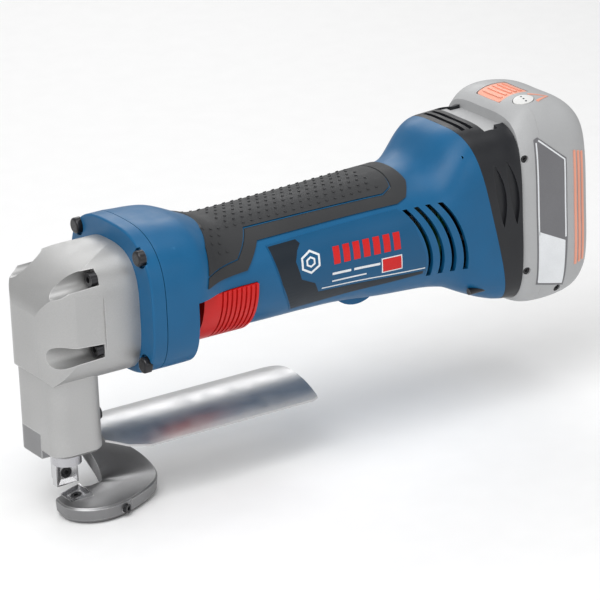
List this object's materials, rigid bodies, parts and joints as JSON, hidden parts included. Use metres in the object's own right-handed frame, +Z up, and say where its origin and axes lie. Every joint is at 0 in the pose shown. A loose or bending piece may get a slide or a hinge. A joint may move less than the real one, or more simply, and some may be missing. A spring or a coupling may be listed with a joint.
{
  "type": "cordless sheet metal shear",
  "caption": "Cordless sheet-metal shear or nibbler: cast head with reciprocating knife, C-shaped table, barrel grip and slide-on battery pack.",
  "frame": {"origin": "on the flat underside of the table, behind the lower knife, in the plane of the cut", "axes": "+X along the handle from the knives towards the battery pack, +Z up along the ram, -Y is the side with the name plate"},
  "size_m": [0.334, 0.086, 0.1735],
  "materials": {
    "cast": "satin bead-blasted casting",
    "steel_black": "black oxide",
    "tool_steel": "ground tool steel",
    "steel": "machined, oiled",
    "table_steel": "dark satin, forged and bead-blasted",
    "sheet_steel": "polished sheet",
    "bronze": "sintered bronze",
    "brass": "stamped",
    "copper": "lacquered copper wire",
    "blue_shell": "fine-textured moulding",
    "dark_shell": "fine-textured moulding",
    "grip_rubber": "dimpled soft overmould",
    "red_plastic": "satin moulding",
    "label_film": "printed film, blank",
    "pack_grey": "fine-textured moulding",
    "pack_red": "satin moulding",
    "pale_plastic": "membrane key",
    "black_plastic": "glass-filled moulding",
    "ferrite": "sintered ferrite",
    "carbon": "pressed carbon",
    "zinc_steel": "zinc plated",
    "lamination": "stacked laminations",
    "board": "green circuit board",
    "wire": "insulated lead",
    "cell_sleeve": "shrink sleeve"
  },
  "bodies": {
    "body": {"gear_head": "cast", "head_screws": "steel_black", "ram_bush": "bronze", "lower_knife": "tool_steel", "lower_knife_screw": "steel_black", "table_frame": "table_steel", "gap_set_screw": "steel_black", "table_bolts": "steel_black", "deflector_tongue": "sheet_steel", "tongue_screws": "steel_black", "gearbox_cover": "blue_shell", "flange_screws": "steel_black", "bearing_bracket": "black_plastic", "front_crank_bearing": "steel", "rear_crank_bearing": "steel", "front_motor_bearing": "steel", "rear_motor_bearing": "steel", "motor_can": "zinc_steel", "field_magnets": "ferrite", "brush_bracket": "black_plastic", "carbon_brushes": "carbon", "brush_springs": "steel", "main_housing": "blue_shell", "soft_grip": "grip_rubber", "name_plate": "label_film", "switch_module": "black_plastic", "control_board": "board", "motor_leads": "wire", "rear_cover": "dark_shell", "cover_screws": "steel_black", "terminal_block": "black_plastic", "terminal_blades": "brass"},
    "rotor": {"rotor_shaft": "steel", "armature_core": "lamination", "armature_windings": "copper", "commutator": "copper", "motor_fan": "black_plastic"},
    "crank": {"drive_gear": "steel", "crank_shaft": "steel", "crank_roller": "bronze"},
    "ram_unit": {"ram": "steel", "ram_yoke": "steel", "yoke_pin": "steel", "upper_knife": "tool_steel", "upper_knife_screw": "steel_black"},
    "slider": {"slide_button": "red_plastic", "switch_rod": "black_plastic"},
    "pack": {"pack_front_case": "pack_grey", "pack_rear_case": "pack_grey", "pack_screws": "steel_black", "battery_cells": "cell_sleeve", "cell_straps": "zinc_steel", "pack_board": "board", "pack_contacts": "brass"},
    "release_key": {"release_button": "pack_red"},
    "level_key": {"level_button": "pale_plastic"}
  },
  "joints": [
    {"name": "rotor_spin", "type": "hinge", "parent": "body", "child": "rotor", "pos_m": [0, 0, 0.116], "axis": [1, 0, 0], "continuous": true},
    {"name": "crank_spin", "type": "hinge", "parent": "body", "child": "crank", "pos_m": [0, 0, 0.0992], "axis": [1, 0, 0], "continuous": true},
    {"name": "ram_stroke", "type": "slide", "parent": "body", "child": "ram_unit", "axis": [0, 0, 1], "range_m": [-0.0018, 0.0018]},
    {"name": "switch_slide", "type": "slide", "parent": "body", "child": "slider", "axis": [-1, 0, 0], "range_m": [0, 0.006]},
    {"name": "pack_slide", "type": "slide", "parent": "body", "child": "pack", "axis": [0, 0, 1], "range_m": [0, 0.1]},
    {"name": "release_press", "type": "slide", "parent": "pack", "child": "release_key", "axis": [0, 0, -1], "range_m": [0, 0.003], "stiffness_N_per_m": 1000, "springref_m": -0.001},
    {"name": "level_press", "type": "slide", "parent": "pack", "child": "level_key", "axis": [0, 0, -1], "range_m": [0, 0.0008], "stiffness_N_per_m": 1000, "springref_m": -0.0005}
  ],
  "couplings": [
    {"joint": "crank_spin", "follows": "rotor_spin", "ratio": -0.2}
  ]
}
